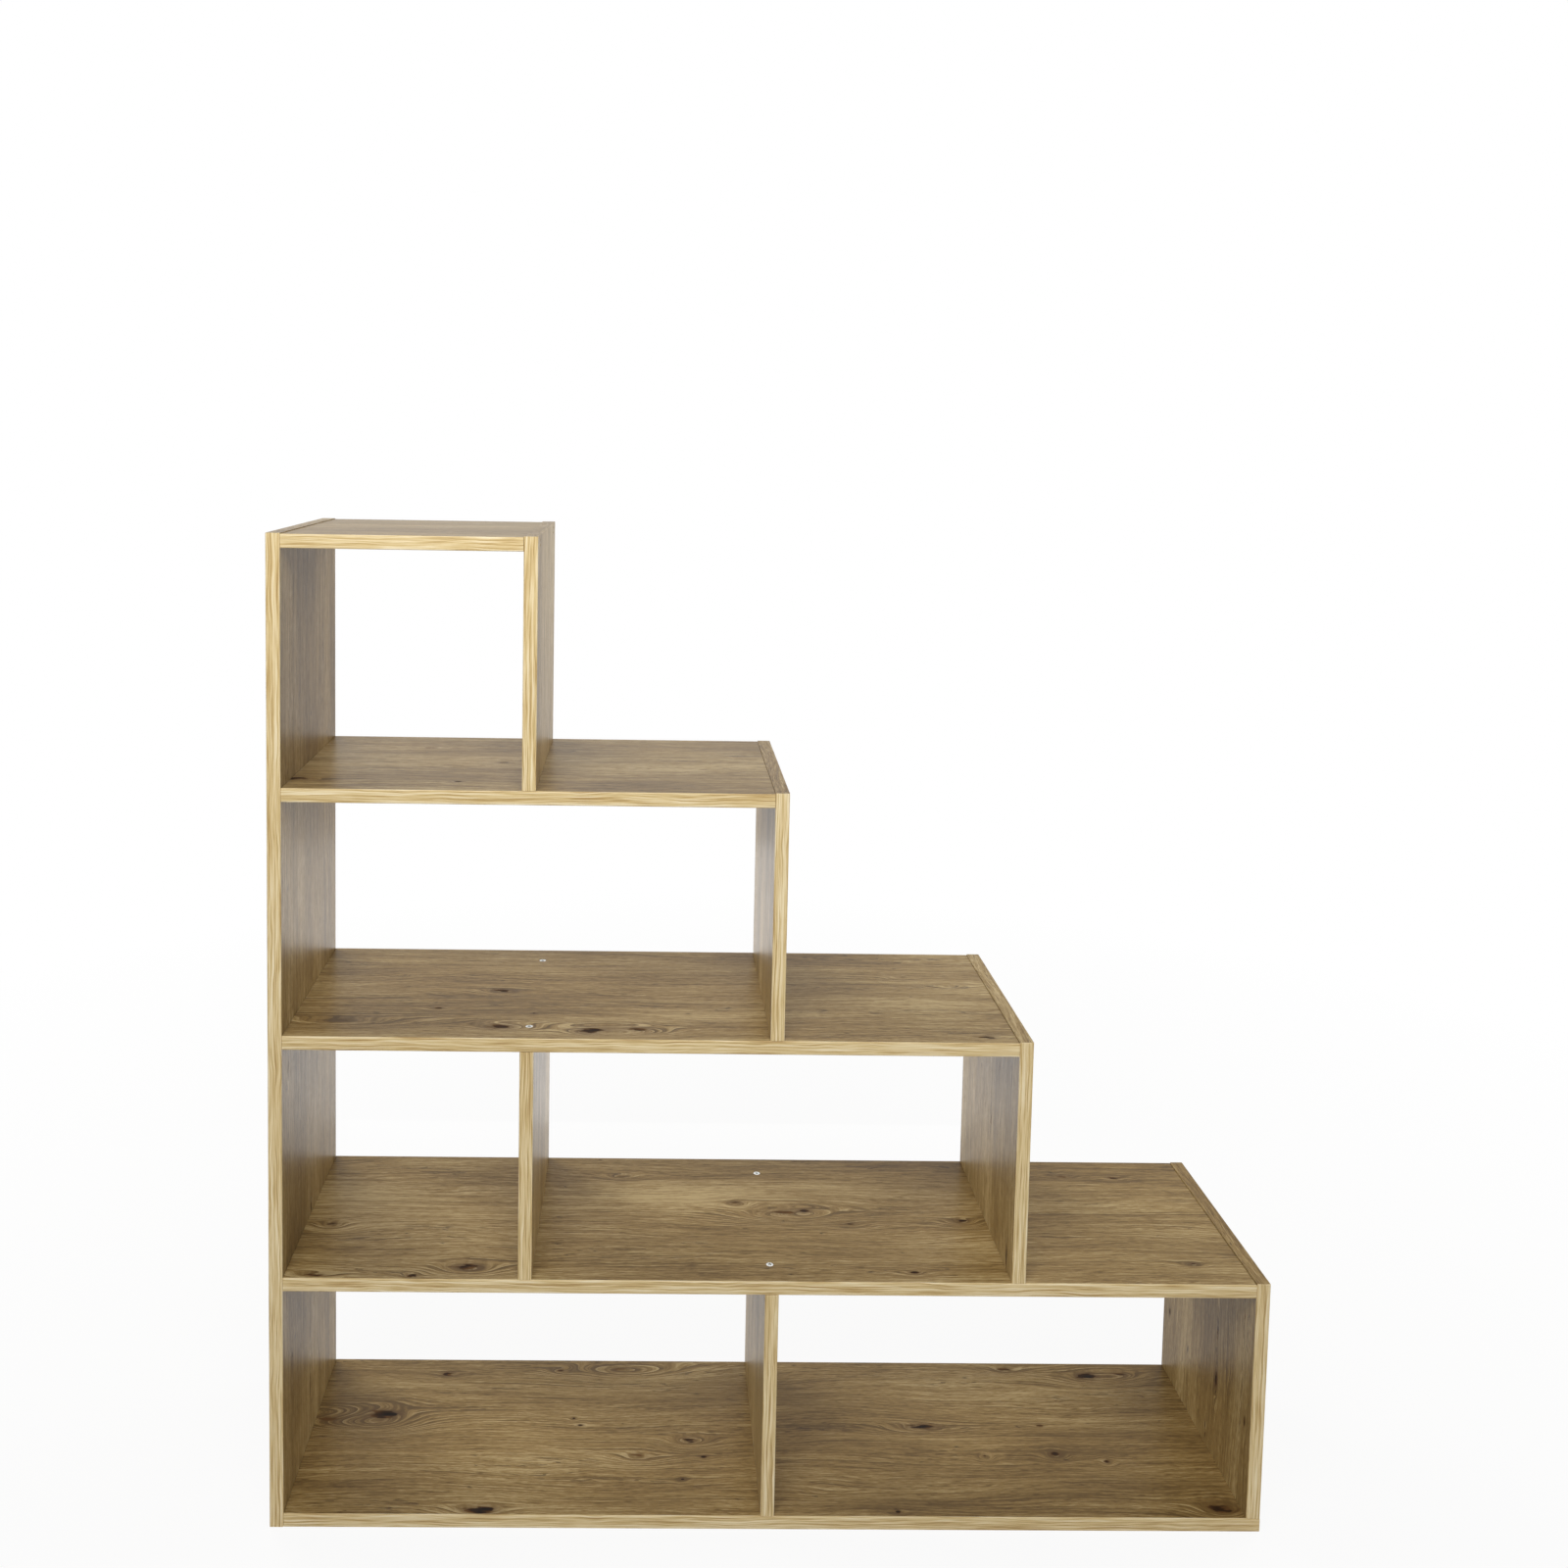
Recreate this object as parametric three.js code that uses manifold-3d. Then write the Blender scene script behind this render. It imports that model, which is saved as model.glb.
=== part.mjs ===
// Staircase bookshelf: an open-backed shelf of melamine-faced boards whose rows grow shorter towards the top.
// Millimetres, +Z up. The edge strips face -Y, the steps fall towards +X, and the origin is
// at the middle of the footprint, on the floor.
import * as THREE from "three";
import { mergeVertices } from "three/addons/utils/BufferGeometryUtils.js";
import Module from "manifold-3d";

const wasm = await Module();
wasm.setup();

// Carcass
const boardThickness = 18;
const cubeWidth = 305; // clear width of a single compartment
const cubeHeight = 305; // clear height of every row
const shelfDepth = 330; // from the face of the edge strips to the rear edges
const sideProud = 1; // how far the end of a side stands above the panel that it closes
const jointGap = 0.3; // joint line where one board butts against another
const rearArris = 0.6; // softened corners of the thin rear edging
const rowCount = 4; // rows, and cubes in the lowest row

// Edge strips
const stripThickness = 2;
const stripArris = 1.5;
const glueLine = 0.2;

// Connecting screws, with a countersunk head and a hexagon socket
const screwLength = 50;
const screwSetback = 42; // from the front and rear faces to a screw's axis
const headDiameter = 10;
const headRim = 1;
const headCone = 2;
const headRecess = 0.4; // how far the head lies below the board's face
const shoulderDiameter = 7;
const shoulderRelief = 4; // what the plain shoulder stops short of the outer board's far face
const shoulderTaper = 1;
const coreDiameter = 5;
const tipDiameter = 3;
const tipLength = 4;
const socketAcrossFlats = 4;
const socketDepth = 3;

// Bores
const boreClearance = 0.3;
const tipRoom = 2; // empty depth of the pilot bore beyond the screw
const overrun = 5; // how far a cutter stands out of the face that it enters

// Facets
const arrisFacets = 3;
const screwFacets = 12;
const socketSides = 6;

const decor = new THREE.MeshStandardMaterial({ color: 0x8f7b5c, roughness: 0.45, metalness: 0 });
const paleOak = new THREE.MeshStandardMaterial({ color: 0xdcc79a, roughness: 0.4, metalness: 0 });
const zinc = new THREE.MeshStandardMaterial({ color: 0xc9cbc9, roughness: 0.35, metalness: 1 });

const levelNames = ["bottom_panel", "lower_shelf", "middle_shelf", "upper_shelf", "top_panel"];
const dividerColumns = { 1: 2, 2: 1 }; // row of each divider, and the column line that it stands on

const halfBoard = boardThickness / 2;
const columnX = (column) => column * (cubeWidth + boardThickness); // left face of an upright there
const levelZ = (level) => level * (cubeHeight + boardThickness); // underside of a panel there
const levelTop = (level) => levelZ(level) + boardThickness;
const endColumn = (row) => rowCount + 1 - row; // column line of the side that closes a row
const sideName = (row) => (row === rowCount ? "top_side" : `step_${row}_side`);
const dividerName = (row) => `divider_row_${row}`;
const carcassWidth = columnX(rowCount) + boardThickness;

function toSolid(geometry) {
  const bare = geometry.clone();
  bare.deleteAttribute("normal");
  bare.deleteAttribute("uv");
  const merged = mergeVertices(bare);
  const vertProperties = merged.attributes.position.array;
  const triVerts = new Uint32Array(merged.index.array);
  return new wasm.Manifold(new wasm.Mesh({ numProp: 3, vertProperties, triVerts }));
}

function toGeometry(solid) {
  const { vertProperties, triVerts } = solid.getMesh();
  const indexed = new THREE.BufferGeometry();
  indexed.setAttribute("position", new THREE.BufferAttribute(vertProperties, 3));
  indexed.setIndex(new THREE.BufferAttribute(triVerts, 1));
  const geometry = indexed.toNonIndexed();
  geometry.computeVertexNormals();
  return geometry;
}

function namedMesh(name, geometry, material) {
  const mesh = new THREE.Mesh(geometry, material.clone());
  mesh.name = name;
  return mesh;
}

// Cross-section across a board's thickness (X) and depth (Y), with the two corners at roundY softened.
function edgeSection(roundY, squareY, radius) {
  const inward = Math.sign(squareY - roundY) * radius;
  const far = boardThickness - radius;
  const section = new THREE.Shape();
  section.moveTo(0, squareY);
  section.lineTo(0, roundY + inward);
  section.quadraticCurveTo(0, roundY, radius, roundY);
  section.lineTo(far, roundY);
  section.quadraticCurveTo(boardThickness, roundY, boardThickness, roundY + inward);
  section.lineTo(boardThickness, squareY);
  section.closePath();
  return section;
}

function extrudeSection(section, length) {
  const options = { depth: length, bevelEnabled: false, curveSegments: arrisFacets };
  return new THREE.ExtrudeGeometry(section, options);
}

// A board and its front edge strip. In the panel's own frame X is the thickness, Y the depth
// and Z the length; a lying panel is turned so that its length runs along the carcass's X.
function makePanel({ name, x, z, length, lying }, cutters) {
  const panel = new THREE.Group();
  panel.position.set(x, 0, lying ? z + boardThickness : z);
  panel.rotation.y = lying ? Math.PI / 2 : 0;
  panel.updateMatrix();
  const intoPanel = panel.matrix.clone().invert();

  const boardSection = edgeSection(shelfDepth, stripThickness + glueLine, rearArris);
  let board = toSolid(extrudeSection(boardSection, length));
  for (const cutter of cutters) board = board.subtract(toSolid(cutter.clone().applyMatrix4(intoPanel)));
  panel.add(namedMesh(name, toGeometry(board), decor));

  const strip = extrudeSection(edgeSection(0, stripThickness, stripArris), length);
  panel.add(namedMesh(`${name}_edge_strip`, strip, paleOak));
  return panel;
}

// The level panels lie between the left side and the side that closes the row below them.
function levelPanels() {
  const start = boardThickness + jointGap;
  return levelNames.map((name, level) => {
    const end = level === 0 ? carcassWidth : columnX(endColumn(level)) - jointGap;
    return { name, x: start, z: levelZ(level), length: end - start, lying: true };
  });
}

// Each side and divider stands on the panel below its row; the left side stands on the floor.
function uprightPanels() {
  const uprights = [{ name: "left_side", x: 0, z: 0, length: levelTop(rowCount) + sideProud }];
  for (let row = 1; row <= rowCount; row++) {
    const z = levelTop(row - 1) + jointGap;
    const length = levelTop(row) + sideProud - z;
    uprights.push({ name: sideName(row), x: columnX(endColumn(row)), z, length });
    if (!(row in dividerColumns)) continue;
    const clear = levelZ(row) - jointGap - z;
    uprights.push({ name: dividerName(row), x: columnX(dividerColumns[row]), z, length: clear });
  }
  return uprights;
}

// Every butt joint: the board that the screws pass through, the board whose end they grip,
// the point on the outer face and the direction that they are driven in.
function buttJoints() {
  const toRight = new THREE.Vector3(1, 0, 0);
  const toLeft = new THREE.Vector3(-1, 0, 0);
  const upward = new THREE.Vector3(0, 0, 1);
  const downward = new THREE.Vector3(0, 0, -1);
  const joints = [];
  levelNames.forEach((into, level) => {
    const z = levelZ(level) + halfBoard;
    joints.push({ label: `${into}_left`, through: "left_side", into, x: 0, z, drive: toRight });
    if (level === 0) return;
    const x = columnX(endColumn(level)) + boardThickness;
    joints.push({ label: `${into}_right`, through: sideName(level), into, x, z, drive: toLeft });
  });
  for (let row = 1; row <= rowCount; row++) {
    const below = { through: levelNames[row - 1], z: levelZ(row - 1), drive: upward };
    const sideX = columnX(endColumn(row)) + halfBoard;
    joints.push({ ...below, label: `${sideName(row)}_foot`, into: sideName(row), x: sideX });
    if (!(row in dividerColumns)) continue;
    const divider = { into: dividerName(row), x: columnX(dividerColumns[row]) + halfBoard };
    const above = { through: levelNames[row], z: levelTop(row), drive: downward };
    joints.push({ ...below, ...divider, label: `${dividerName(row)}_foot` });
    joints.push({ ...above, ...divider, label: `${dividerName(row)}_head` });
  }
  return joints;
}

// Two screws hold each joint, one near the front and one near the rear.
function placeScrews() {
  const down = new THREE.Vector3(0, -1, 0); // a screw's own axis, from its head to its tip
  const places = { front: screwSetback, rear: shelfDepth - screwSetback };
  return buttJoints().flatMap(({ label, through, into, x, z, drive }) =>
    Object.entries(places).map(([place, y]) => {
      const matrix = new THREE.Matrix4();
      matrix.makeRotationFromQuaternion(new THREE.Quaternion().setFromUnitVectors(down, drive));
      matrix.setPosition(new THREE.Vector3(x, y, z).addScaledVector(drive, headRecess));
      return { name: `screw_${label}_${place}`, boards: [through, into], matrix };
    }),
  );
}

// The screw turned about its axis: head face at zero, tip pointing down.
function screwGeometry() {
  const shoulderEnd = boardThickness - shoulderRelief;
  const outline = [
    [0, screwLength],
    [tipDiameter / 2, screwLength],
    [coreDiameter / 2, screwLength - tipLength],
    [coreDiameter / 2, shoulderEnd + shoulderTaper],
    [shoulderDiameter / 2, shoulderEnd],
    [shoulderDiameter / 2, headRim + headCone],
    [headDiameter / 2, headRim],
    [headDiameter / 2, 0],
    [0, 0],
  ];
  const body = toSolid(turned(outline));
  const socketRadius = socketAcrossFlats / 2 / Math.cos(Math.PI / socketSides);
  const socketHeight = socketDepth + overrun;
  const socket = new THREE.CylinderGeometry(socketRadius, socketRadius, socketHeight, socketSides);
  socket.translate(0, socketHeight / 2 - socketDepth, 0);
  return toGeometry(body.subtract(toSolid(socket)));
}

// The stepped bore for a screw: countersink and clearance in the outer board, pilot in the other.
// The step lies in the joint line between the two.
function boreGeometry() {
  const pilotStart = boardThickness + jointGap / 2 - headRecess;
  const pilotRadius = coreDiameter / 2 + boreClearance;
  const clearanceRadius = shoulderDiameter / 2 + boreClearance;
  const headRadius = headDiameter / 2 + boreClearance;
  return turned([
    [0, screwLength + tipRoom],
    [pilotRadius, screwLength + tipRoom],
    [pilotRadius, pilotStart],
    [clearanceRadius, pilotStart],
    [clearanceRadius, headRim + headCone + boreClearance],
    [headRadius, headRim + boreClearance],
    [headRadius, -overrun],
    [0, -overrun],
  ]);
}

// Turns an outline of radius and depth below the head about the screw's axis.
function turned(outline) {
  const points = outline.map(([radius, depth]) => new THREE.Vector2(radius, -depth));
  return new THREE.LatheGeometry(points, screwFacets);
}

const carcass = new THREE.Group();
carcass.position.set(-carcassWidth / 2, -shelfDepth / 2, 0);

const screws = placeScrews();
const bore = boreGeometry();
for (const panel of [...levelPanels(), ...uprightPanels()]) {
  const through = screws.filter(({ boards }) => boards.includes(panel.name));
  const cutters = through.map(({ matrix }) => bore.clone().applyMatrix4(matrix));
  carcass.add(makePanel(panel, cutters));
}

const screwShape = screwGeometry();
for (const { name, matrix } of screws) {
  const screw = namedMesh(name, screwShape, zinc);
  screw.applyMatrix4(matrix);
  carcass.add(screw);
}

const bookshelf = new THREE.Group();
bookshelf.add(carcass);

export default bookshelf;
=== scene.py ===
# Staircase bookshelf in rustic oak melamine with pale oak edge strips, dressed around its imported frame.
import math

import bpy
import numpy as np
from mathutils import Matrix, Vector


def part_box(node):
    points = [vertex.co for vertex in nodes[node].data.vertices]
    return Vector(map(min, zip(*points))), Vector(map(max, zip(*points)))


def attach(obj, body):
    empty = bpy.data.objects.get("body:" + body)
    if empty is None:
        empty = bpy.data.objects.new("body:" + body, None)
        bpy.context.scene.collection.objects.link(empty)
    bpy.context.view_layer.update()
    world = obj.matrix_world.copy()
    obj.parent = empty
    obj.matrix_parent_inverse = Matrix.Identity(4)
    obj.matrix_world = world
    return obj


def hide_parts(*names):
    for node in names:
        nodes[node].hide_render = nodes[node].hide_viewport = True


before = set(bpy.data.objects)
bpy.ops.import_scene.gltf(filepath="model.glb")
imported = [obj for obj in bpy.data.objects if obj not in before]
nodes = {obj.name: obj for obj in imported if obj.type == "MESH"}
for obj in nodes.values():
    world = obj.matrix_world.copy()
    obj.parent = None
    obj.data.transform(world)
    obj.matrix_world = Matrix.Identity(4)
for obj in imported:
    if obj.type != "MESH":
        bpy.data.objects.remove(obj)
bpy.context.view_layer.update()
mm = 0.001  # metres in a millimetre
stripEnding = "_edge_strip"
screwStart = "screw_"
strips = sorted(name for name in nodes if name.endswith(stripEnding))
screws = sorted(name for name in nodes if name.startswith(screwStart))
boards = sorted(set(nodes) - set(strips) - set(screws))
print("frame loaded:", len(boards), "boards,", len(strips), "edge strips,", len(screws), "screws")


def nodeBox(name):
    # lowest and highest corner in millimetres
    return tuple(np.array(corner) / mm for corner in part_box(name))


def isLying(name):
    low, high = nodeBox(name)
    return high[0] - low[0] > high[2] - low[2]


def linearColour(text):
    # sRGB to linear light: a straight foot near black, a 2.4 power above it
    shares = [int(text[start:start + 2], 16) / 255 for start in (1, 3, 5)]
    return [c / 12.92 if c <= 0.04045 else ((c + 0.055) / 1.055) ** 2.4 for c in shares] + [1]


def addNode(tree, kind, inputs=(), **settings):
    # inputs go by socket name in a dictionary, or in socket order in a tuple; a node stands for its output
    node = tree.nodes.new(kind)
    for setting, value in settings.items():
        setattr(node, setting, value)
    sockets = [socket for socket in node.inputs if socket.enabled]
    if isinstance(inputs, dict):
        sockets = [next(s for s in sockets if s.name == name) for name in inputs]
        inputs = inputs.values()
    for socket, value in zip(sockets, inputs):
        if isinstance(value, bpy.types.Node):
            value = next(output for output in value.outputs if output.enabled)
        if isinstance(value, bpy.types.NodeSocket):
            tree.links.new(value, socket)
        else:
            socket.default_value = value
    return node


def setRamp(rampNode, stops):
    # stops: position and hex colour, from dark to light
    ramp = rampNode.color_ramp
    while len(ramp.elements) < len(stops):
        ramp.elements.new(1)
    for element, (position, text) in zip(ramp.elements, stops):
        element.position = position
        element.color = linearColour(text)


def newMaterial(name):
    material = bpy.data.materials.new(name)
    material.use_nodes = True
    tree = material.node_tree
    tree.nodes.clear()
    return material, tree


octaveShare = 0.62  # of its strength, what each finer octave of the grain's noise keeps


def grainLayers(tree, along, across, seed, layers):
    # tone = 1/2 + sum of contrast * (noise - 1/2), where each layer's noise is stretched to its length
    # along the grain and its width across it
    tone = 0.5
    for length, width, detail, contrast in layers:
        cell = addNode(tree, "ShaderNodeCombineXYZ", (
            addNode(tree, "ShaderNodeMath", (along, 1 / length), operation="MULTIPLY"),
            addNode(tree, "ShaderNodeMath", (across, 1 / width), operation="MULTIPLY"),
            seed,
        ))
        noise = addNode(tree, "ShaderNodeTexNoise",
                        {"Vector": cell, "Scale": 1, "Detail": detail, "Roughness": octaveShare})
        centred = addNode(tree, "ShaderNodeMath", (noise, 0.5), operation="SUBTRACT")
        tone = addNode(tree, "ShaderNodeMath", (centred, contrast, tone), operation="MULTIPLY_ADD")
    return tone


# Board decor, in millimetres. A layer is its length and width, its detail and its contrast. A range
# is where it starts and ends in the pattern, and what it gives there.
wildOak = {
    "tones": [(0.08, "#654f2d"), (0.38, "#866c40"), (0.6, "#9a8050"), (0.9, "#bea778")],
    "knotHalo": "#5f4525",
    "knotHeart": [(0.55, "#150b04"), (0.76, "#36220f"), (0.95, "#644626")],
    "crack": "#3e2b17",
    "speck": "#2f2011",
    "figure": [(480, 110, 1, 0.95), (300, 26, 2, 0.65), (320, 7, 3, 0.45), (170, 2.8, 3, 0.7)],
    "fibre": [(40, 1.5, 2, 1.35), (9, 0.8, 2, 1.1)],  # real fibres are half as wide, too fine to show
    "fibreShare": 0.7,  # of the fibre's tone that is added to the figure's
    "toneShift": 0.31,  # brings the sum back to the middle of the tones
    "pores": (15, 1.1, 0, 1),  # real pores are a third as wide, too fine to show
    "poreTone": (0.56, 0.72, 0, -0.45),
    "drift": (380, 90, 44),  # length, width and height of the swells that bend the rings into cathedrals
    "wander": (140, 26),  # length and width of the short waves in the grain
    "wanderReach": (5.4, 1.8, 0),  # how far they reach along the grain and across it
    "seedStep": 1.7,  # sets one board's noise apart from the next one's

    "ringPitch": 5.5,
    "ringUnevenness": 2.4,  # in ring widths
    "ringChange": 0.23,  # how much the rings' width changes from one to the next
    "ringSharpness": 4,  # power that leaves the dark line at a ring's end
    "ringFade": (170, 14, 2, 1), "ringFadeRange": (0.4, 0.62, 0, 1),
    "ringTone": -0.75,  # of the strongest dark line
    "darkLineAtKnot": (0, 4, 0, -0.42),  # by how far a knot lifts the ring
    "paleLineAtKnot": (0.3, 4, 0.06, 0.3),

    "knotDepth": 9,  # how deep a knot reaches into the thickness
    "liftSpread": 0.22,  # the smaller it is, the wider a knot lifts the rings
    "liftShare": 0.85,  # of the written lift
    "knotParting": 1.1,  # share of its half width by which a knot pushes the lines apart
    "ragged": (30, 7),  # length and width of the notches in the large knots' outline
    "raggedReach": (36, 18, 0),  # how far the notches reach along the grain and across it
    "raggedFrom": 11,  # half length above which a knot has such an outline
    "haloRange": (0.05, 0.75, 0, 0.8),
    "heartPower": 2.6,  # narrows the bell of a knot down to its heart
    "heartTone": (-0.4, 0.47),  # darker towards the middle, from this tone at the rim
    "heartFray": 1.1, "heartRange": (0.86, 1.0, 0, 1),
    "heartRoughness": 0.3,  # more than around it

    "crackLayer": (190, 13, 3, 1), "crackHalfWidth": 0.012,
    "crackZone": (260, 40, 1, 1), "crackZoneRange": (0.56, 0.66, 0, 0.6),
    "speckCell": (52, 24),
    "speckShare": 0.12,  # of the cells that hold a speck
    "speckReach": 0.12, "speckStrength": 0.9,  # its radius in cells, and how far it covers the wood

    "roughness": (0.2, 0.8, 0.4, 0.3),  # by the fibre's tone
    "bump": {"Strength": 0.25, "Distance": 0.1 * mm},
    "overlay": {"IOR": 1.5, "Specular IOR Level": 0.13},  # deeply matt, so the decor shows at a low angle
}
# A knot is its place along the grain and across it, its half length and half width, how far it lifts
# the growth rings, and how dark its heart is.
knots = {
    "bottom_panel": [
        (-540, 35, 26, 16, 26, 1), (-615, 25, 34, 13, 20, 0.4), (-460, 130, 12, 6, 5, 0.9),
        (-380, -155, 28, 9, 9, 1), (-290, 140, 10, 5, 4, 0.6), (-200, 145, 44, 13, 26, 0.3),
        (-100, -15, 20, 9, 14, 0.6), (-170, -50, 24, 9, 10, 0.35), (235, 15, 34, 8, 8, 0.9),
        (390, 150, 18, 7, 10, 0.6), (510, 135, 24, 11, 14, 1), (565, 140, 18, 7, 8, 0.7),
        (415, -40, 10, 7, 6, 0.9), (610, -145, 22, 13, 15, 1), (-265, 30, 4, 3, 1, 0.9),
        (-255, 15, 6, 3, 1, 0.9), (-80, -50, 7, 4, 2, 0.9), (-110, -95, 5, 3, 1, 0.8),
        (485, -55, 6, 5, 3, 0.8), (410, 20, 9, 3, 2, 0.7), (315, -45, 6, 5, 4, 0.5),
        (175, -155, 6, 4, 2, 0.9),
    ],
    "lower_shelf": [
        (-600, -30, 16, 8, 8, 0.5), (-595, -155, 24, 6, 8, 0.6), (-470, -155, 12, 5, 4, 0.6),
        (-400, -135, 24, 11, 14, 0.85), (-200, 110, 16, 6, 6, 0.4), (-35, 35, 12, 6, 5, 0.6),
        (30, 10, 44, 13, 18, 0.5), (60, 15, 10, 6, 6, 0.8), (120, -20, 16, 6, 6, 0.5),
        (280, -10, 14, 8, 14, 0.75), (190, -140, 10, 5, 4, 0.85), (460, 120, 14, 5, 6, 0.5),
        (535, 115, 14, 6, 6, 0.6), (570, -115, 8, 4, 3, 0.6),
    ],
    "middle_shelf": [
        (-370, 0, 18, 7, 9, 0.7), (-450, -65, 9, 5, 4, 0.7), (-360, -125, 26, 11, 14, 0.6),
        (-240, -135, 26, 11, 15, 1), (-180, -130, 26, 11, 14, 0.55), (-320, -80, 5, 3, 1, 0.7),
        (-585, -110, 60, 13, 22, 0.1), (195, 65, 14, 6, 6, 0.2), (265, 35, 16, 6, 8, 0.2),
        (275, -145, 16, 5, 5, 0.9), (-515, 55, 10, 4, 5, 0.2),
    ],
    "upper_shelf": [
        (-370, 0, 16, 4, 4, 0.6), (-335, 15, 40, 3, 3, 0.5), (-635, -110, 34, 7, 5, 0.8),
        (-420, -115, 8, 4, 3, 0.9), (-485, 90, 12, 4, 3, 0.4), (-40, 60, 20, 5, 6, 0.3),
    ],
    "top_panel": [(-445, 10, 26, 6, 6, 0.3)],
    "left_side": [
        (885, 85, 10, 2, 2, 0.5), (610, -130, 22, 3, 4, 0.7), (350, 0, 10, 3, 3, 0.9),
        (200, -115, 60, 2, 4, 0.5), (90, -10, 50, 2, 4, 0.5),
    ],
    "step_2_side": [(500, -20, 14, 2, 3, 0.6), (360, -130, 24, 4, 5, 1)],
    "step_1_side": [
        (120, 140, 14, 3, 4, 0.7), (135, -45, 16, 5, 6, 1), (45, -15, 14, 3, 4, 0.9),
        (140, -145, 12, 3, 3, 0.8), (205, -45, 40, 4, 6, 0.4), (235, -130, 110, 2, 3, 0.5),
    ],
}
shownFromRight = {"left_side", "divider_row_2", "top_side"}  # the photograph shows their right faces
strayKnots = {"count": 4, "halfLength": (8, 24), "halfWidth": (4, 9), "heart": (0.3, 0.9)}


def strayKnotsOn(board, faceIndex, seed):
    # a few knots for a face that the photograph doesn't show, the same in each run
    random = np.random.default_rng(seed)
    low, high = nodeBox(board)
    axis = 0 if isLying(board) else 2
    found = []
    for _ in range(strayKnots["count"]):
        along = random.uniform(low[axis], high[axis])
        across = random.uniform(low[1], high[1])
        halfLength = random.uniform(*strayKnots["halfLength"])
        halfWidth = random.uniform(*strayKnots["halfWidth"])
        heart = random.uniform(*strayKnots["heart"])
        found.append((faceIndex, (along, across, halfLength, halfWidth, halfWidth, heart)))
    return found


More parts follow.
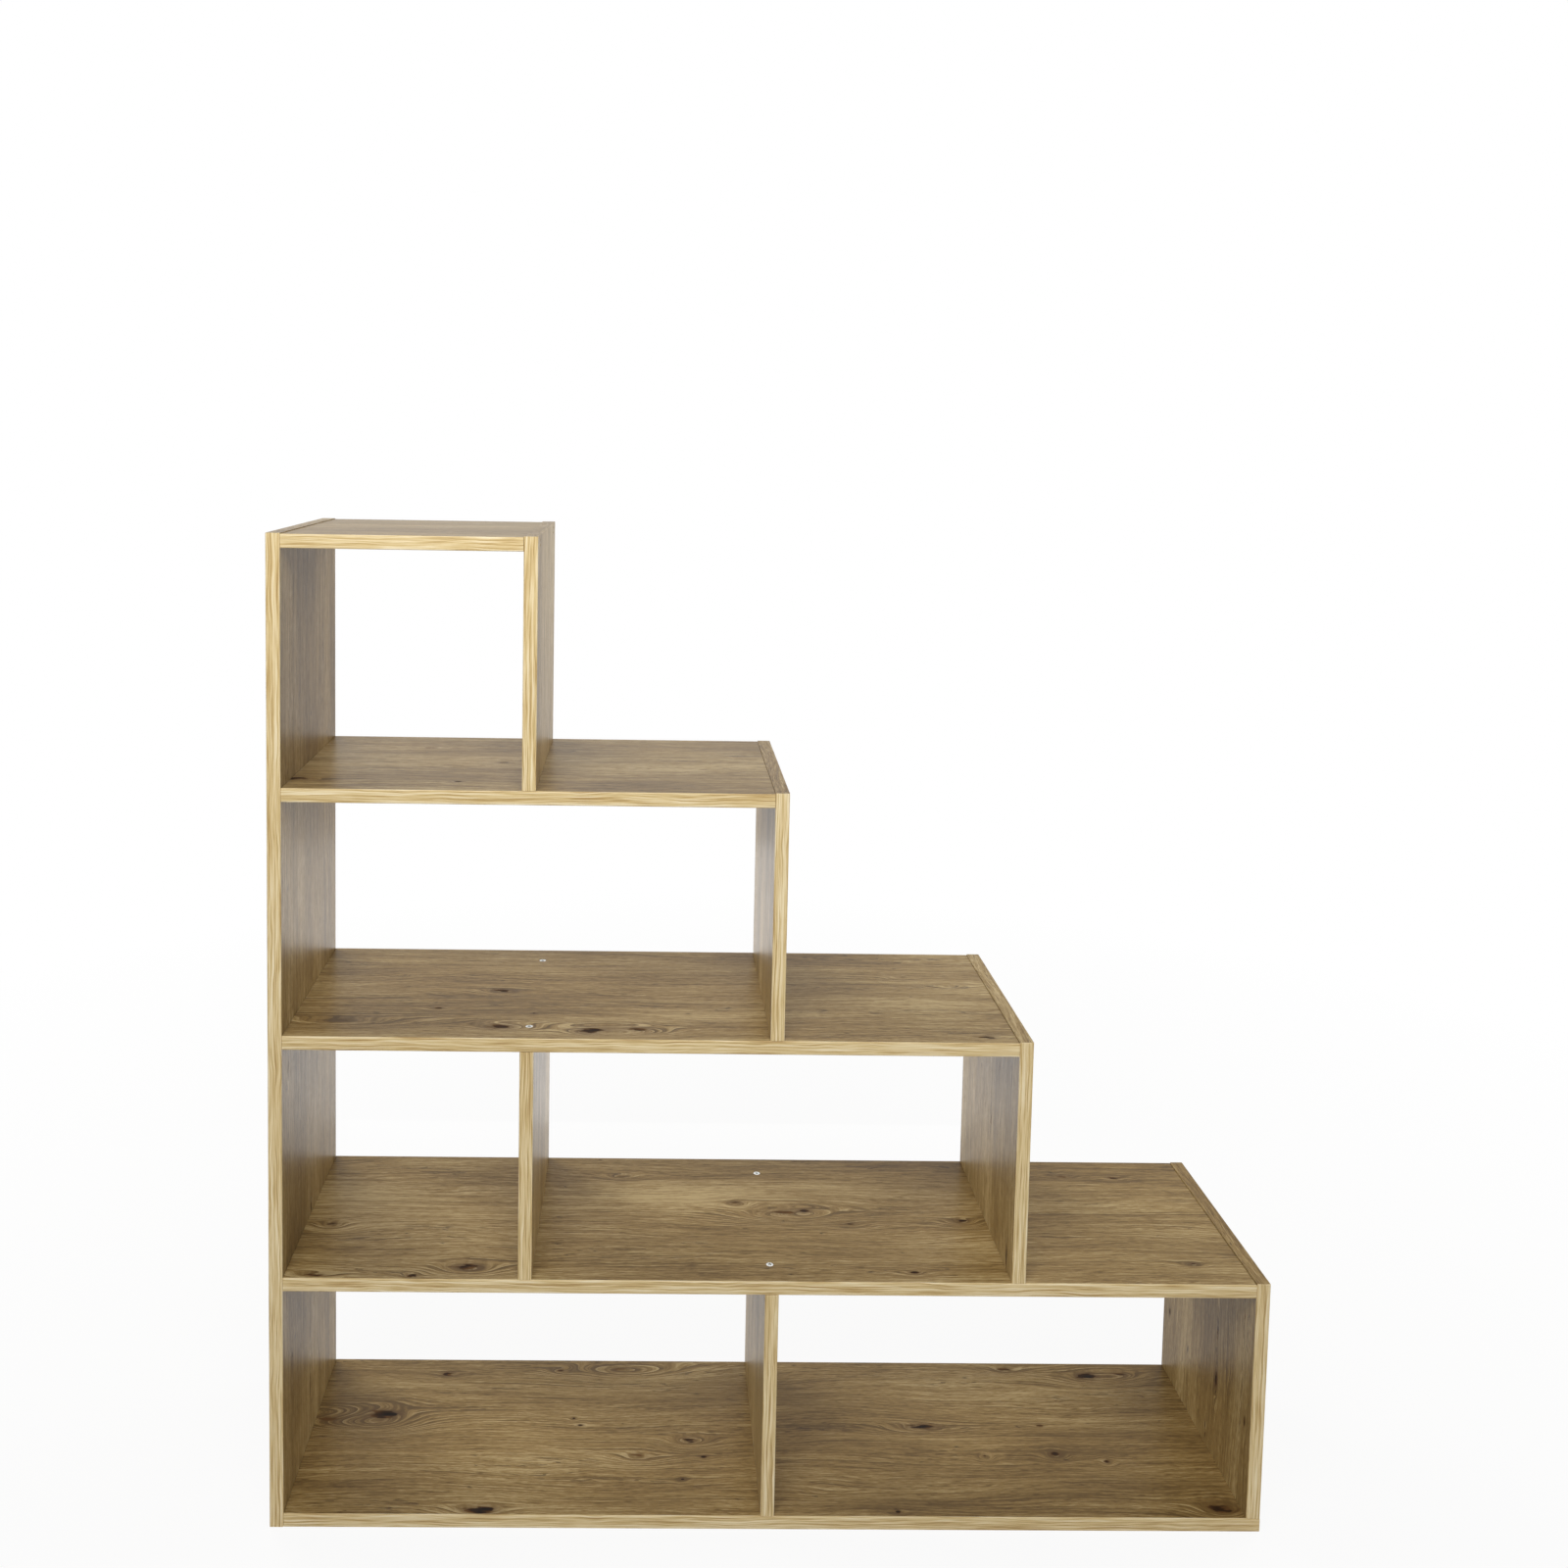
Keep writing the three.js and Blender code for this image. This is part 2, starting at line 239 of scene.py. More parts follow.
def wildOakMelamine(board, seed):
    # Melamine-faced particle board: a printed decor of wild oak under a clear satin overlay that is
    # pressed with fine pores, so the grain is flat to the eye and light spreads softly along it.
    lying = isLying(board)
    low, high = nodeBox(board)
    lengthAxis, thicknessAxis = ("X", "Z") if lying else ("Z", "X")
    faces = [box[2 if lying else 0] for box in (low, high)]
    material, tree = newMaterial("wild oak melamine, " + board)

    coordinates = addNode(tree, "ShaderNodeTexCoord")
    millimetres = addNode(tree, "ShaderNodeVectorMath", (coordinates.outputs["Object"], 1 / mm),
                          operation="SCALE")
    split = addNode(tree, "ShaderNodeSeparateXYZ", (millimetres,))
    along, depth, thickness = (split.outputs[axis] for axis in (lengthAxis, "Y", thicknessAxis))
    onFace = addNode(tree, "ShaderNodeCombineXYZ", (along, depth, thickness))
    onEnd = addNode(tree, "ShaderNodeCombineXYZ", (depth, thickness, along))
    normal = addNode(tree, "ShaderNodeSeparateXYZ", (coordinates.outputs["Normal"],))
    lengthwise = addNode(tree, "ShaderNodeMath", (normal.outputs[lengthAxis],), operation="ABSOLUTE")
    endMask = addNode(tree, "ShaderNodeMath", (lengthwise, 0.5), operation="GREATER_THAN")
    place = addNode(tree, "ShaderNodeMix", (endMask, onFace, onEnd), data_type="VECTOR")

    # short waves bend every line of the grain
    waveLength, waveWidth = wildOak["wander"]
    waveCell = addNode(tree, "ShaderNodeVectorMath",
                       (place, (1 / waveLength, 1 / waveWidth, 0), (seed, seed, seed)),
                       operation="MULTIPLY_ADD")
    waves = addNode(tree, "ShaderNodeTexNoise", {"Vector": waveCell, "Scale": 1, "Detail": 3})
    centredWaves = addNode(tree, "ShaderNodeVectorMath", (waves.outputs["Color"], (0.5, 0.5, 0.5)),
                           operation="SUBTRACT")
    bent = addNode(tree, "ShaderNodeVectorMath",
                   (centredWaves, wildOak["wanderReach"], place), operation="MULTIPLY_ADD")
    bentSplit = addNode(tree, "ShaderNodeSeparateXYZ", (bent,))

    # ring field = place across the grain + thickness + swell + each knot's lift + each knot's parting.
    # A knot's lift is its written lift * e^-(spread * squared distance in knot sizes); its parting is
    # the same bell times the place across the knot, turned round, so that lines pass on both sides.
    swellLength, swellWidth, swellHeight = wildOak["drift"]
    swellCell = addNode(tree, "ShaderNodeVectorMath",
                        (place, (1 / swellLength, 1 / swellWidth, 0), (seed, 0, seed)),
                        operation="MULTIPLY_ADD")
    swell = addNode(tree, "ShaderNodeTexNoise", {"Vector": swellCell, "Scale": 1, "Detail": 1})
    rings = addNode(tree, "ShaderNodeMath", (swell, swellHeight, bentSplit.outputs["Y"]),
                    operation="MULTIPLY_ADD")
    rings = addNode(tree, "ShaderNodeMath", (rings, bentSplit.outputs["Z"]), operation="ADD")

    # large knots have a torn outline, small ones only bend with the grain
    raggedLength, raggedWidth = wildOak["ragged"]
    raggedCell = addNode(tree, "ShaderNodeVectorMath",
                         (place, (1 / raggedLength, 1 / raggedWidth, 0), (seed, seed, seed)),
                         operation="MULTIPLY_ADD")
    ragged = addNode(tree, "ShaderNodeTexNoise", {"Vector": raggedCell, "Scale": 1, "Detail": 5})
    raggedCentred = addNode(tree, "ShaderNodeVectorMath", (ragged.outputs["Color"], (0.5, 0.5, 0.5)),
                            operation="SUBTRACT")
    torn = addNode(tree, "ShaderNodeVectorMath",
                   (raggedCentred, wildOak["raggedReach"], bent), operation="MULTIPLY_ADD")
    shownFace = 1 if lying or board in shownFromRight else 0
    shown = [(shownFace, knot) for knot in knots.get(board, [])]
    shown += strayKnotsOn(board, 1 - shownFace, seed * 2)
    lift = parting = halo = heart = 0.0
    for faceIndex, (knotAlong, knotAcross, halfLength, halfWidth, rise, dark) in shown:
        size = np.array([halfLength, halfWidth, wildOak["knotDepth"]])
        centre = np.array([knotAlong, knotAcross, faces[faceIndex]])
        away = addNode(tree, "ShaderNodeVectorMath", (bent, tuple(1 / size), tuple(-centre / size)),
                       operation="MULTIPLY_ADD")
        squared = addNode(tree, "ShaderNodeVectorMath", (away, away), operation="DOT_PRODUCT")
        broad = addNode(tree, "ShaderNodeMath", (math.exp(-wildOak["liftSpread"]), squared),
                        operation="POWER")
        lift = addNode(tree, "ShaderNodeMath", (broad, rise * wildOak["liftShare"], lift),
                       operation="MULTIPLY_ADD")
        push = addNode(tree, "ShaderNodeVectorMath", (away, (0, -halfWidth * wildOak["knotParting"], 0)),
                       operation="DOT_PRODUCT")
        parting = addNode(tree, "ShaderNodeMath", (broad, push, parting), operation="MULTIPLY_ADD")
        # halo and heart = darkness * bells, e^-(squared distance) and a narrower power of it
        field = torn if halfLength > wildOak["raggedFrom"] else bent
        awayInField = addNode(tree, "ShaderNodeVectorMath",
                              (field, tuple(1 / size), tuple(-centre / size)), operation="MULTIPLY_ADD")
        squaredInField = addNode(tree, "ShaderNodeVectorMath", (awayInField, awayInField),
                                 operation="DOT_PRODUCT")
        bell = addNode(tree, "ShaderNodeMath", (math.exp(-1), squaredInField), operation="POWER")
        halo = addNode(tree, "ShaderNodeMath", (bell, dark, halo), operation="MULTIPLY_ADD")
        narrow = addNode(tree, "ShaderNodeMath", (bell, wildOak["heartPower"]), operation="POWER")
        heart = addNode(tree, "ShaderNodeMath", (narrow, dark, heart), operation="MULTIPLY_ADD")
    rings = addNode(tree, "ShaderNodeMath", (rings, lift), operation="ADD")
    rings = addNode(tree, "ShaderNodeMath", (rings, parting), operation="ADD")

    # the whole numbers added to this seed further down set the layers of one board apart
    boardSeed = seed * wildOak["seedStep"]
    figure = grainLayers(tree, bentSplit.outputs["X"], rings, boardSeed, wildOak["figure"])
    fibre = grainLayers(tree, bentSplit.outputs["X"], rings, boardSeed, wildOak["fibre"])
    tone = addNode(tree, "ShaderNodeMath", (fibre, wildOak["fibreShare"], figure), operation="MULTIPLY_ADD")
    tone = addNode(tree, "ShaderNodeMath", (tone, wildOak["toneShift"]), operation="SUBTRACT")

    # growth rings of uneven width and strength: each starts pale and ends in a thin dark line that
    # fades in and out along the grain; both are plainest where knots lift the rings
    ringCount = addNode(tree, "ShaderNodeMath", (rings, 1 / wildOak["ringPitch"]), operation="MULTIPLY")
    uneven = addNode(tree, "ShaderNodeTexNoise", {
        "W": addNode(tree, "ShaderNodeMath", (ringCount, wildOak["ringChange"], boardSeed),
                     operation="MULTIPLY_ADD"),
        "Scale": 1, "Detail": 1}, noise_dimensions="1D")
    ringCount = addNode(tree, "ShaderNodeMath", (uneven, wildOak["ringUnevenness"], ringCount),
                        operation="MULTIPLY_ADD")
    ringShare = addNode(tree, "ShaderNodeMath", (ringCount,), operation="FRACT")
    ringIndex = addNode(tree, "ShaderNodeMath", (ringCount,), operation="FLOOR")
    ringChance = addNode(tree, "ShaderNodeTexWhiteNoise", {
        "W": addNode(tree, "ShaderNodeMath", (ringIndex, boardSeed), operation="ADD")},
        noise_dimensions="1D").outputs["Value"]
    fading = grainLayers(tree, bentSplit.outputs["X"], rings, boardSeed + 3, [wildOak["ringFade"]])
    fading = addNode(tree, "ShaderNodeMapRange", (fading, *wildOak["ringFadeRange"]))
    strength = addNode(tree, "ShaderNodeMath", (ringChance, fading), operation="MULTIPLY")
    darkLine = addNode(tree, "ShaderNodeMath", (ringShare, wildOak["ringSharpness"]), operation="POWER")
    ringStart = addNode(tree, "ShaderNodeMath", (1, ringShare), operation="SUBTRACT")
    paleLine = addNode(tree, "ShaderNodeMath", (ringStart, wildOak["ringSharpness"]), operation="POWER")
    darkAtKnot = addNode(tree, "ShaderNodeMapRange", (lift, *wildOak["darkLineAtKnot"]))
    darkTone = addNode(tree, "ShaderNodeMath", (strength, wildOak["ringTone"], darkAtKnot),
                       operation="MULTIPLY_ADD")
    paleTone = addNode(tree, "ShaderNodeMapRange", (lift, *wildOak["paleLineAtKnot"]))
    tone = addNode(tree, "ShaderNodeMath", (darkLine, darkTone, tone), operation="MULTIPLY_ADD")
    tone = addNode(tree, "ShaderNodeMath", (paleLine, paleTone, tone), operation="MULTIPLY_ADD")

    # pores: short dark dashes, thick in the first part of a ring
    pores = grainLayers(tree, bentSplit.outputs["X"], rings, boardSeed + 7, [wildOak["pores"]])
    pores = addNode(tree, "ShaderNodeMapRange", (pores, *wildOak["poreTone"]))
    tone = addNode(tree, "ShaderNodeMath", (pores, ringStart, tone), operation="MULTIPLY_ADD")

    ramp = addNode(tree, "ShaderNodeValToRGB", (tone,))
    setRamp(ramp, wildOak["tones"])

    # cracks: dark where a long noise passes its middle, in the zones where another one is high
    crackNoise = grainLayers(tree, bentSplit.outputs["X"], rings, boardSeed + 5, [wildOak["crackLayer"]])
    crackZone = grainLayers(tree, along, depth, boardSeed + 9, [wildOak["crackZone"]])
    nearMiddle = addNode(tree, "ShaderNodeMath", (crackNoise, 0.5, wildOak["crackHalfWidth"]),
                         operation="COMPARE")
    zone = addNode(tree, "ShaderNodeMapRange", (crackZone, *wildOak["crackZoneRange"]))
    crackMask = addNode(tree, "ShaderNodeMath", (nearMiddle, zone), operation="MULTIPLY")
    colour = addNode(tree, "ShaderNodeMix", (crackMask, ramp, linearColour(wildOak["crack"])),
                     data_type="RGBA")

    # specks: pin knots in a few of the cells of a stretched Voronoi pattern
    speckLength, speckWidth = wildOak["speckCell"]
    speckVector = addNode(tree, "ShaderNodeVectorMath",
                          (torn, (1 / speckLength, 1 / speckWidth, 1), (boardSeed, boardSeed, 0)),
                          operation="MULTIPLY_ADD")
    cells = addNode(tree, "ShaderNodeTexVoronoi", {"Vector": speckVector, "Scale": 1},
                    voronoi_dimensions="2D")
    cellChance = addNode(tree, "ShaderNodeSeparateXYZ", (cells.outputs["Color"],))
    reach = addNode(tree, "ShaderNodeMapRange",
                    (cellChance.outputs["X"], 0, wildOak["speckShare"], wildOak["speckReach"], 0))
    speck = addNode(tree, "ShaderNodeMapRange",
                    (cells.outputs["Distance"], 0, reach, wildOak["speckStrength"], 0))
    colour = addNode(tree, "ShaderNodeMix", (speck, colour, linearColour(wildOak["speck"])),
                     data_type="RGBA")

    # knots: a stained halo, and in it a heart with a frayed rim
    haloMask = addNode(tree, "ShaderNodeMapRange", (halo, *wildOak["haloRange"]))
    colour = addNode(tree, "ShaderNodeMix", (haloMask, colour, linearColour(wildOak["knotHalo"])),
                     data_type="RGBA")
    heartTone = addNode(tree, "ShaderNodeMath", (heart, *wildOak["heartTone"]), operation="MULTIPLY_ADD")
    heartTone = addNode(tree, "ShaderNodeMath", (ragged, heartTone), operation="ADD")
    heartRamp = addNode(tree, "ShaderNodeValToRGB", (heartTone,))
    setRamp(heartRamp, wildOak["knotHeart"])
    frayed = addNode(tree, "ShaderNodeMath", (ragged, wildOak["heartFray"], heart),
                     operation="MULTIPLY_ADD")
    heartMask = addNode(tree, "ShaderNodeMapRange", (frayed, *wildOak["heartRange"]))
    colour = addNode(tree, "ShaderNodeMix", (heartMask, colour, heartRamp), data_type="RGBA")

    roughness = addNode(tree, "ShaderNodeMapRange", (fibre, *wildOak["roughness"]))
    roughness = addNode(tree, "ShaderNodeMath", (heartMask, wildOak["heartRoughness"], roughness),
                        operation="MULTIPLY_ADD")
    bump = addNode(tree, "ShaderNodeBump", {**wildOak["bump"], "Height": fibre})
    shader = addNode(tree, "ShaderNodeBsdfPrincipled",
                     {"Base Color": colour, "Roughness": roughness, **wildOak["overlay"], "Normal": bump})
    addNode(tree, "ShaderNodeOutputMaterial", (shader,))
    return material


for index, board in enumerate(boards):
    nodes[board].material_slots[0].material = wildOakMelamine(board, index + 1)
print("boards finished in wild oak melamine")


# Front edge strips, in millimetres and degrees
edgeStrip = {"arris": 1.5, "arrisSteps": 8, "endEase": 0.25, "sharpAngle": 35}
paleOak = {
    "tones": [(0.24, "#b08f57"), (0.42, "#d5bb83"), (0.58, "#e6d09f"), (0.8, "#f6e7c3")],
    "figure": [(700, 7, 2, 0.6), (110, 2.4, 2, 1.3), (60, 0.9, 3, 1.2)],
    "bend": (90, 40),  # length and width of the waves in the grain
    "bendReach": 9,
    "seedStep": 3.7,  # sets one strip's noise apart from the next one's
    "roughness": (0.2, 0.8, 0.42, 0.34),
    "bump": {"Strength": 0.2, "Distance": 0.08 * mm},
}


def stripMesh(name):
    # A band, flat behind, whose two front corners are quarter circles: each corner point is
    # arris - arris * (cos, sin) of the turn. The section is carried along the board, drawn in a little
    # at both ends.
    low, high = nodeBox(name)
    length, axis = (high[0] - low[0], 0) if isLying(name) else (high[2] - low[2], 2)
    width = high[2 - axis] - low[2 - axis]
    depth = high[1] - low[1]
    radius, ease = edgeStrip["arris"], edgeStrip["endEase"]
    turn = np.linspace(0, math.pi / 2, edgeStrip["arrisSteps"] + 1)
    cornerAcross = radius - radius * np.cos(turn)
    cornerDeep = radius - radius * np.sin(turn)
    across = np.concatenate([[0], cornerAcross, (width - cornerAcross)[::-1], [width]])
    deep = np.concatenate([[depth], cornerDeep, cornerDeep[::-1], [depth]])
    girth = np.concatenate([[0], np.cumsum(np.hypot(np.diff(across), np.diff(deep)))])

    stations = np.array([0, ease, length - ease, length])
    drawnIn = np.array([ease, 0, 0, ease])
    middle = np.array([width / 2, depth / 2])
    ringAcross = middle[0] + (across[None, :] - middle[0]) * (1 - drawnIn[:, None] / middle[0])
    ringDeep = middle[1] + (deep[None, :] - middle[1]) * (1 - drawnIn[:, None] / middle[1])
    count = len(across)
    points = np.zeros((len(stations), count, 3))
    points[:, :, axis] = low[axis] + stations[:, None]
    points[:, :, 2 - axis] = low[2 - axis] + ringAcross
    points[:, :, 1] = low[1] + ringDeep

    row, column = np.meshgrid(np.arange(len(stations) - 1), np.arange(count), indexing="ij")
    after = (column + 1) % count
    quads = np.stack([row * count + column, row * count + after,
                      (row + 1) * count + after, (row + 1) * count + column], axis=-1).reshape(-1, 4)
    lastStart = (len(stations) - 1) * count
    ends = [list(range(count))[::-1], list(range(lastStart, lastStart + count))]
    mesh = bpy.data.meshes.new(name)
    mesh.from_pydata((points.reshape(-1, 3) * mm).tolist(), [], quads.tolist() + ends)
    if isLying(name):
        mesh.flip_normals()  # a section carried along X is the mirror image of one carried along Z
    grain = mesh.attributes.new("grain", "FLOAT_VECTOR", "POINT")
    values = np.zeros((len(stations), count, 3))
    values[:, :, 0] = stations[:, None]
    values[:, :, 1] = girth[None, :]
    values[:, :, 2] = strips.index(name) + 1
    grain.data.foreach_set("vector", values.ravel().astype(np.float32))
    return mesh


def paleOakEdging():
    # ABS edge band printed as pale oak: a hard satin plastic with straight, lengthwise grain.
    material, tree = newMaterial("pale oak ABS edging")
    grain = addNode(tree, "ShaderNodeAttribute", attribute_name="grain")
    split = addNode(tree, "ShaderNodeSeparateXYZ", (grain.outputs["Vector"],))
    seed = split.outputs["Z"]
    bendLength, bendWidth = paleOak["bend"]
    bendCell = addNode(tree, "ShaderNodeVectorMath",
                       (grain.outputs["Vector"], (1 / bendLength, 1 / bendWidth, paleOak["seedStep"])),
                       operation="MULTIPLY")
    bend = addNode(tree, "ShaderNodeTexNoise", {"Vector": bendCell, "Scale": 1, "Detail": 2})
    across = addNode(tree, "ShaderNodeMath", (bend, paleOak["bendReach"], split.outputs["Y"]),
                     operation="MULTIPLY_ADD")
    tone = grainLayers(tree, split.outputs["X"], across, seed, paleOak["figure"])
    ramp = addNode(tree, "ShaderNodeValToRGB", (tone,))
    setRamp(ramp, paleOak["tones"])
    roughness = addNode(tree, "ShaderNodeMapRange", (tone, *paleOak["roughness"]))
    bump = addNode(tree, "ShaderNodeBump", {**paleOak["bump"], "Height": tone})
    shader = addNode(tree, "ShaderNodeBsdfPrincipled",
                     {"Base Color": ramp, "Roughness": roughness, "IOR": 1.5, "Normal": bump})
    addNode(tree, "ShaderNodeOutputMaterial", (shader,))
    return material


def makePiece(name, mesh, material, replaced, sharpAngle):
    mesh.validate()
    mesh.shade_smooth()
    mesh.set_sharp_from_angle(angle=math.radians(sharpAngle))
    mesh.materials.append(material)
    piece = bpy.data.objects.new(name, mesh)
    bpy.context.scene.collection.objects.link(piece)
    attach(piece, "root")
    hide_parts(replaced)
    return piece


edging = paleOakEdging()
for name in strips:
    makePiece("rounded_" + name, stripMesh(name), edging, name, edgeStrip["sharpAngle"])
print("edge strips rounded")


# Connecting screws, in millimetres and degrees
screwShape = {
    "sides": 36,
    "socketHalf": 2.0,  # half of the socket's width across flats
    "socketDepth": 3.0,
    "socketFloor": 0.4,  # radius of the flat in the middle of the socket's floor
    "socketLip": 0.2,  # from the hexagon's corners to the flat top of the head
    "headRadius": 5.0,
    "headEdge": 0.25,
    "headRim": 1.0,
    "shoulderRadius": 3.5,
    "coneEnd": 3.0,
    "shoulderEnd": 14.0,
    "coreRadius": 2.5,
    "threadGap": 1.0,  # plain length between the shoulder and the thread
    "threadHeight": 0.25,
    "threadPitch": 3.0,
    "threadSharpness": 3,
    "ringsPerTurn": 6,
    "tipLength": 4.0,
    "tipRadius": 1.5,
    "sharpAngle": 30,
}
driveOf = {"left": (1, 0, 0), "right": (-1, 0, 0), "foot": (0, 0, 1), "head": (0, 0, -1)}
zincFinish = {
    "tones": [(0.3, "#d5d7d5"), (0.7, "#eeeeea")],
    "dieMarks": (0.25, 0.5),  # spacing outwards and along the screw
    "roughness": (0.3, 0.7, 0.18, 0.3),
    "bump": {"Strength": 0.2, "Distance": 0.05 * mm},
}


def screwMesh(name):
    # A surface turned about the drive axis: radius(depth, angle). In the socket the radius follows a
    # hexagon, half width / cos(angle from the middle of the nearest flat). On the core it rises by
    # sin^3 of half a circle times the share of a thread turn, faded in and out over one pitch.
    s = screwShape
    low, high = nodeBox(name)
    drive = np.array(driveOf[name.split("_")[-2]], float)
    total = (high - low) @ np.abs(drive)
    angle = np.arange(s["sides"]) / s["sides"] * 2 * math.pi
    halfFlat = math.pi / 6
    fromFlat = (angle + halfFlat) % (2 * halfFlat) - halfFlat
    hexagon = s["socketHalf"] / np.cos(fromFlat)
    circle = np.ones_like(angle)
    corner = s["socketHalf"] / math.cos(halfFlat)
    threadStart, threadEnd = s["shoulderEnd"] + s["threadGap"], total - s["tipLength"]
    turns = (threadEnd - threadStart) / s["threadPitch"]
    threadDepths = np.linspace(threadStart, threadEnd, int(turns * s["ringsPerTurn"]) + 1)
    share = (threadDepths[:, None] / s["threadPitch"] - angle[None, :] / (2 * math.pi)) % 1
    fadeIn = np.clip((threadDepths - threadStart) / s["threadPitch"], 0, 1)[:, None]
    fadeOut = np.clip((threadEnd - threadDepths) / s["threadPitch"], 0, 1)[:, None]
    ridge = np.sin(math.pi * share) ** s["threadSharpness"] * fadeIn * fadeOut
    threads = s["coreRadius"] + s["threadHeight"] * ridge

    depths = [s["socketDepth"], s["socketDepth"], s["headEdge"], 0, 0, s["headEdge"], s["headRim"],
              s["coneEnd"], s["shoulderEnd"]] + list(threadDepths) + [total]
    radii = [circle * s["socketFloor"], hexagon, hexagon, circle * (corner + s["socketLip"]),
             circle * (s["headRadius"] - s["headEdge"]), circle * s["headRadius"],
             circle * s["headRadius"], circle * s["shoulderRadius"], circle * s["shoulderRadius"]]
    radii += list(threads) + [circle * s["tipRadius"]]
    depths, radii = np.array(depths), np.array(radii)

    side = np.array([0, 1, 0.0])
    other = np.cross(drive, side)
    headCentre = (low + high) / 2 - drive * total / 2
    outward = np.cos(angle)[:, None] * side + np.sin(angle)[:, None] * other
    points = headCentre + depths[:, None, None] * drive + radii[:, :, None] * outward[None, :, :]
    rings, sides = radii.shape
    row, column = np.meshgrid(np.arange(rings - 1), np.arange(sides), indexing="ij")
    after = (column + 1) % sides
    quads = np.stack([row * sides + column, row * sides + after,
                      (row + 1) * sides + after, (row + 1) * sides + column], axis=-1).reshape(-1, 4)
    ends = [list(range(sides))[::-1], list(range((rings - 1) * sides, rings * sides))]
    mesh = bpy.data.meshes.new(name)
    mesh.from_pydata((points.reshape(-1, 3) * mm).tolist(), [], quads.tolist() + ends)
    turned = mesh.attributes.new("turned", "FLOAT_VECTOR", "POINT")
    values = np.stack([radii, np.broadcast_to(depths[:, None], radii.shape),
                       np.broadcast_to(angle[None, :], radii.shape)], axis=-1)
    turned.data.foreach_set("vector", values.ravel().astype(np.float32))
    return mesh


def zincPlate():
    # Steel screw, cold headed and zinc plated: bright, with fine rings left by the turned dies.
    material, tree = newMaterial("zinc plated steel")
    turned = addNode(tree, "ShaderNodeAttribute", attribute_name="turned")
    split = addNode(tree, "ShaderNodeSeparateXYZ", (turned.outputs["Vector"],))
    outwards, lengthwise = zincFinish["dieMarks"]
    cell = addNode(tree, "ShaderNodeCombineXYZ", (
        addNode(tree, "ShaderNodeMath", (split.outputs["X"], 1 / outwards), operation="MULTIPLY"),
        addNode(tree, "ShaderNodeMath", (split.outputs["Y"], 1 / lengthwise), operation="MULTIPLY"),
        0,
    ))
    noise = addNode(tree, "ShaderNodeTexNoise", {"Vector": cell, "Scale": 1, "Detail": 3})
    ramp = addNode(tree, "ShaderNodeValToRGB", (noise,))
    setRamp(ramp, zincFinish["tones"])
    roughness = addNode(tree, "ShaderNodeMapRange", (noise, *zincFinish["roughness"]))
    bump = addNode(tree, "ShaderNodeBump", {**zincFinish["bump"], "Height": noise})
    shader = addNode(tree, "ShaderNodeBsdfPrincipled",
                     {"Base Color": ramp, "Metallic": 1, "Roughness": roughness, "Normal": bump})
    addNode(tree, "ShaderNodeOutputMaterial", (shader,))
    return material


zinc = zincPlate()
for name in screws:
    makePiece("zinc_" + name, screwMesh(name), zinc, name, screwShape["sharpAngle"])
print("screws turned")


# Studio: metres and watts
studio = {
    "lamps": {
        "key light": {"place": (-0.3, -1.7, 2.35), "aim": (0, 0, 0.9), "size": (1.8, 1.1), "power": 40},
        "right fill": {"place": (2.2, -2.0, 1.5), "aim": (0, 0, 0.7), "size": (1.8, 1.6), "power": 6},
        "left rear": {"place": (-1.8, 1.6, 1.6), "aim": (0, 0, 0.8), "size": (1.2, 1.2), "power": 32},
        "right rear": {"place": (2.1, 1.2, 1.5), "aim": (0, 0, 0.8), "size": (1.2, 1.2), "power": 24},
        "low rear": {"place": (-0.1, 1.0, 0.3), "aim": (-0.1, 0, 0.3), "size": (1.4, 0.6), "power": 1.9},
    },
    "glareFree": {"left rear", "right rear"},  # left out of gloss, or from the side they whiten the tops
    "worldShare": 0.2,  # of white, for the light that the surroundings throw on the object
    "floorHalf": 20, "floorColour": "#d9d7d4",
    "floorWhiteShare": 0.92,  # of the floor near the object that stays white, so its shadow is faint
    "fadeStart": 0.8, "fadeEnd": 2.6,
}


def backgroundRays(tree):
    # 1 for rays that show the background: to the camera, in gloss and through glass
    paths = addNode(tree, "ShaderNodeLightPath").outputs
    seen = addNode(tree, "ShaderNodeMath", (paths["Is Camera Ray"], paths["Is Glossy Ray"]),
                   operation="MAXIMUM")
    return addNode(tree, "ShaderNodeMath", (seen, paths["Is Transmission Ray"]), operation="MAXIMUM")


def makeFloor():
    half = studio["floorHalf"]
    corners = [(-half, -half, 0), (half, -half, 0), (half, half, 0), (-half, half, 0)]
    mesh = bpy.data.meshes.new("floor")
    mesh.from_pydata(corners, [], [(0, 1, 2, 3)])
    floor = bpy.data.objects.new("floor", mesh)
    bpy.context.scene.collection.objects.link(floor)
    material, tree = newMaterial("pale studio floor")
    place = addNode(tree, "ShaderNodeTexCoord").outputs["Object"]
    distance = addNode(tree, "ShaderNodeVectorMath", (place,), operation="LENGTH")
    white = addNode(tree, "ShaderNodeMapRange", (distance, studio["fadeStart"], studio["fadeEnd"],
                                                 studio["floorWhiteShare"], 1))
    share = addNode(tree, "ShaderNodeMath", (white, backgroundRays(tree)), operation="MULTIPLY")
    matt = addNode(tree, "ShaderNodeBsdfDiffuse", (linearColour(studio["floorColour"]),))
    glow = addNode(tree, "ShaderNodeEmission", ((1, 1, 1, 1), 1))
    addNode(tree, "ShaderNodeOutputMaterial", (addNode(tree, "ShaderNodeMixShader", (share, matt, glow)),))
    mesh.materials.append(material)


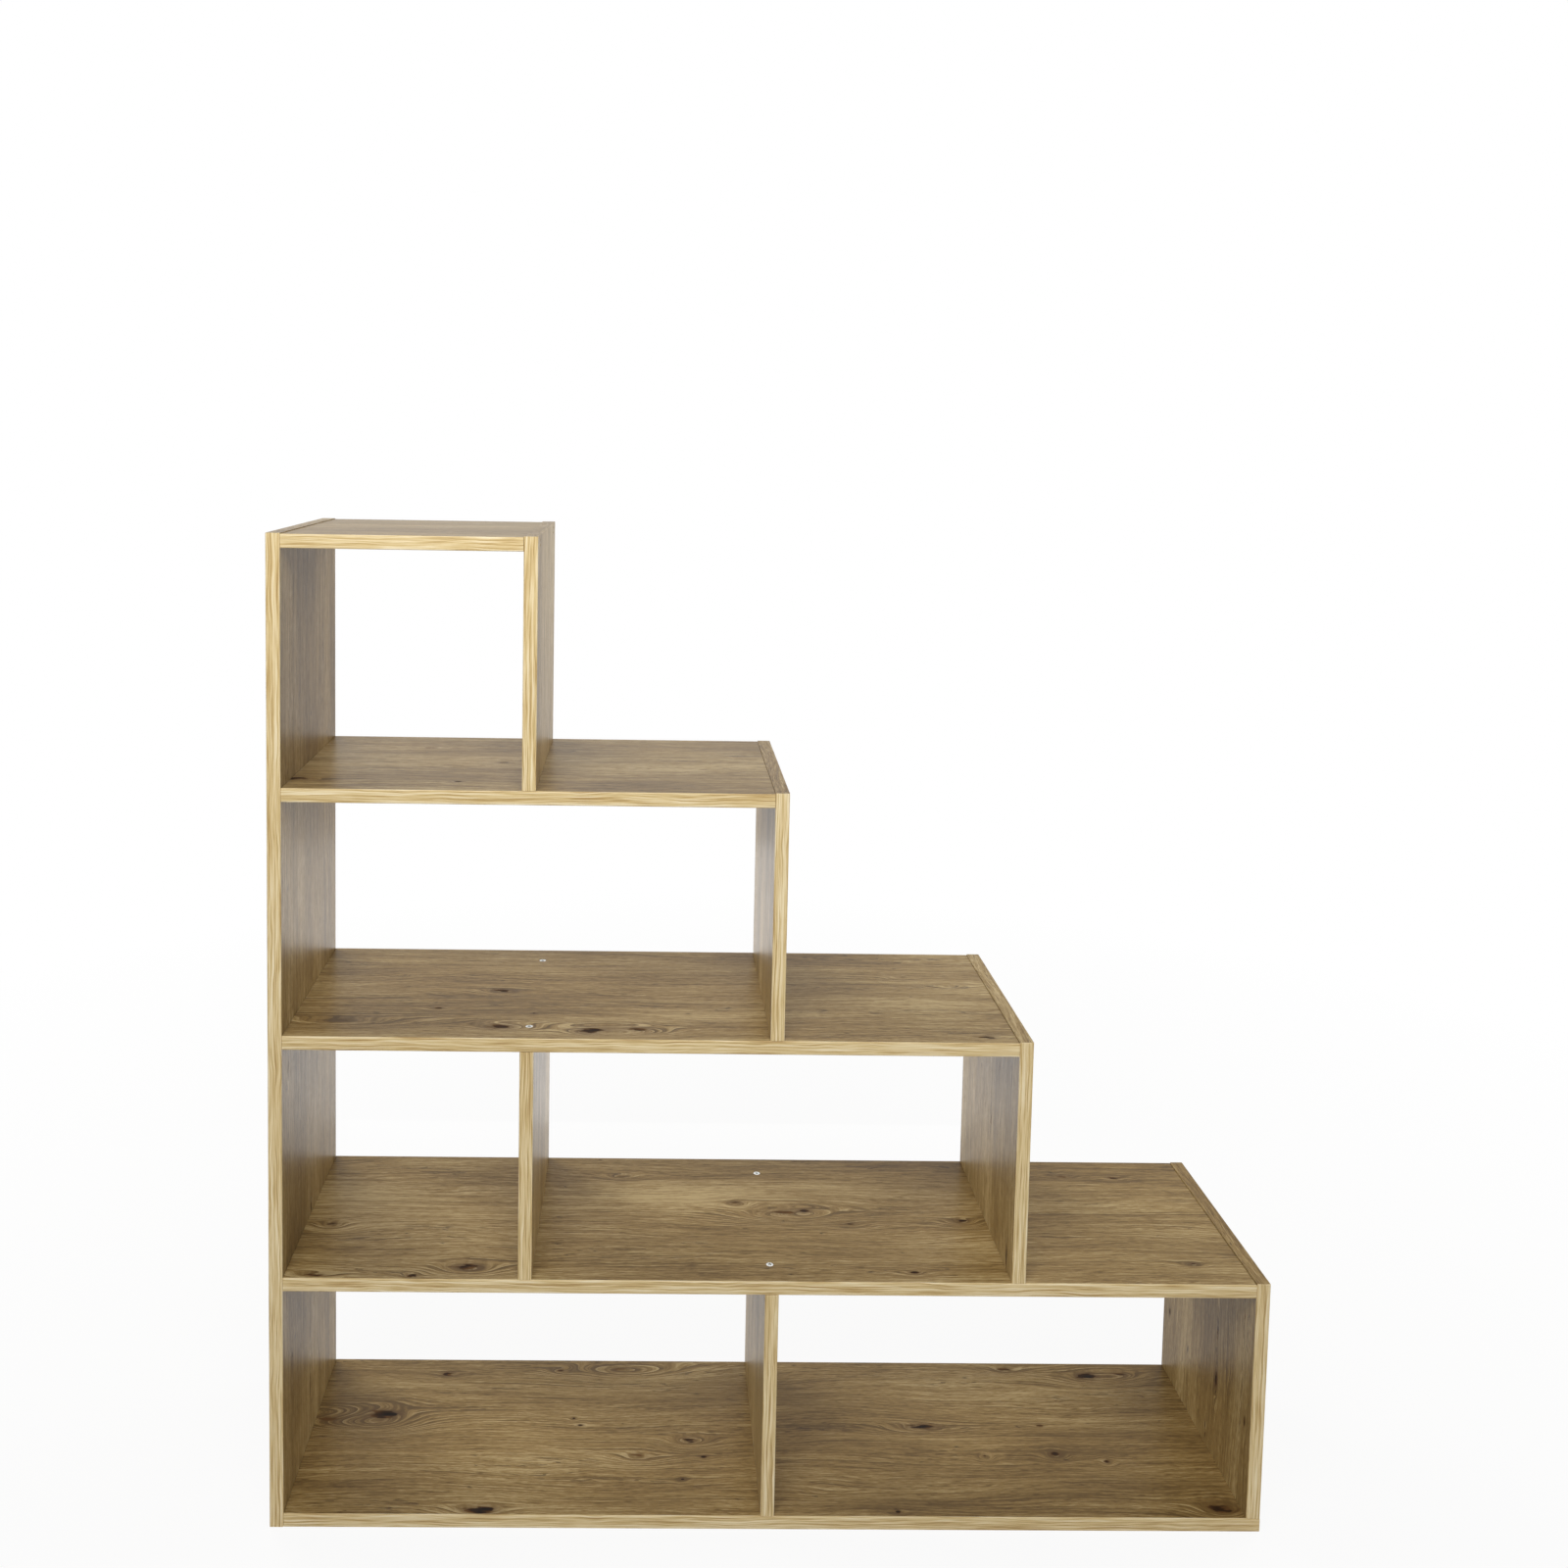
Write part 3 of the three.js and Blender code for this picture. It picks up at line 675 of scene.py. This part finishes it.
def makeWorld():
    world = bpy.data.worlds.new("white studio")
    world.use_nodes = True
    tree = world.node_tree
    tree.nodes.clear()
    strength = addNode(tree, "ShaderNodeMapRange", (backgroundRays(tree), 0, 1, studio["worldShare"], 1))
    background = addNode(tree, "ShaderNodeBackground", ((1, 1, 1, 1), strength))
    addNode(tree, "ShaderNodeOutputWorld", (background,))
    bpy.context.scene.world = world


def makeLamp(name, lamp):
    light = bpy.data.lights.new(name, "AREA")
    light.shape = "RECTANGLE"
    light.size, light.size_y = lamp["size"]
    light.energy = lamp["power"]
    source = bpy.data.objects.new(name, light)
    source.location = lamp["place"]
    aim = Vector(lamp["aim"]) - Vector(lamp["place"])
    source.rotation_euler = aim.to_track_quat("-Z", "Y").to_euler()
    source.visible_camera = False
    source.visible_glossy = name not in studio["glareFree"]
    bpy.context.scene.collection.objects.link(source)


makeFloor()
makeWorld()
for name, lamp in studio["lamps"].items():
    makeLamp(name, lamp)
print("studio lit")


# Camera at the photograph's viewing angle, in metres and degrees
view = {
    "place": (-0.175, -2.0257, 1.4397), "yaw": 0.856, "pitch": -4.343, "roll": 0.917,
    "lens": 34.155, "shift": (0.0719, -0.15),
}


def makeCamera():
    data = bpy.data.cameras.new("camera")
    data.lens = view["lens"]
    data.shift_x, data.shift_y = view["shift"]
    yaw, pitch, roll = (math.radians(view[name]) for name in ("yaw", "pitch", "roll"))
    forward = Vector((math.sin(yaw) * math.cos(pitch), math.cos(yaw) * math.cos(pitch), math.sin(pitch)))
    level = Vector((math.cos(yaw), -math.sin(yaw), 0))
    upright = level.cross(forward)
    right = level * math.cos(roll) + upright * math.sin(roll)
    up = upright * math.cos(roll) - level * math.sin(roll)
    camera = bpy.data.objects.new("camera", data)
    turn = Matrix((right, up, -forward)).transposed().to_4x4()
    camera.matrix_world = Matrix.Translation(view["place"]) @ turn
    bpy.context.scene.collection.objects.link(camera)
    bpy.context.scene.camera = camera


makeCamera()
bpy.context.scene.view_settings.view_transform = "Standard"
print("camera placed")
